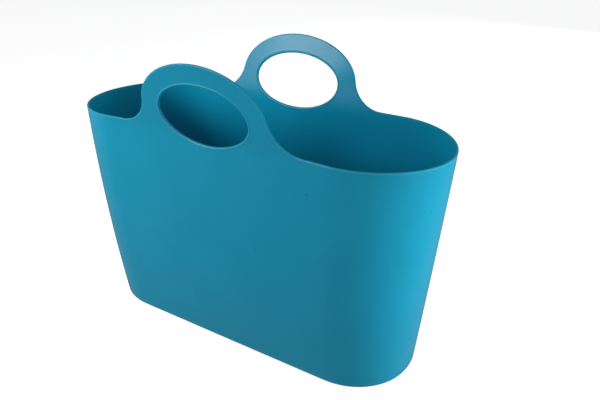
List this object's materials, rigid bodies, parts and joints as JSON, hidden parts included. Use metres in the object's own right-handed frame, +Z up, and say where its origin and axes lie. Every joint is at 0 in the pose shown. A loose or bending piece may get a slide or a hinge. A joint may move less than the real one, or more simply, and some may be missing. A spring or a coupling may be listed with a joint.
{
  "type": "carry tub",
  "caption": "Oblong open-topped flexible plastic carry tub with rounded ends and a hand hole in each upstanding carrying loop, for cleaning supplies.",
  "frame": {"origin": "centre of the footprint, on the surface the tub stands on", "axes": "+X along the tub's length, +Y from the front wall to the rear wall, +Z up"},
  "size_m": [0.4508, 0.1948, 0.332],
  "materials": {
    "moulding": "satin moulded plastic, self-coloured teal"
  },
  "bodies": {
    "tub": {"tub": "moulding"},
    "front_handle": {"front_handle": "moulding"},
    "rear_handle": {"rear_handle": "moulding"}
  },
  "joints": [
    {"name": "front_handle_bend", "type": "hinge", "parent": "tub", "child": "front_handle", "pos_m": [0, -0.0828, 0.262], "axis": [-1, 0, 0], "range_deg": [-10, 40], "stiffness_Nm_per_rad": 0.8},
    {"name": "rear_handle_bend", "type": "hinge", "parent": "tub", "child": "rear_handle", "pos_m": [0, 0.0828, 0.262], "axis": [1, 0, 0], "range_deg": [-10, 40], "stiffness_Nm_per_rad": 0.8}
  ]
}
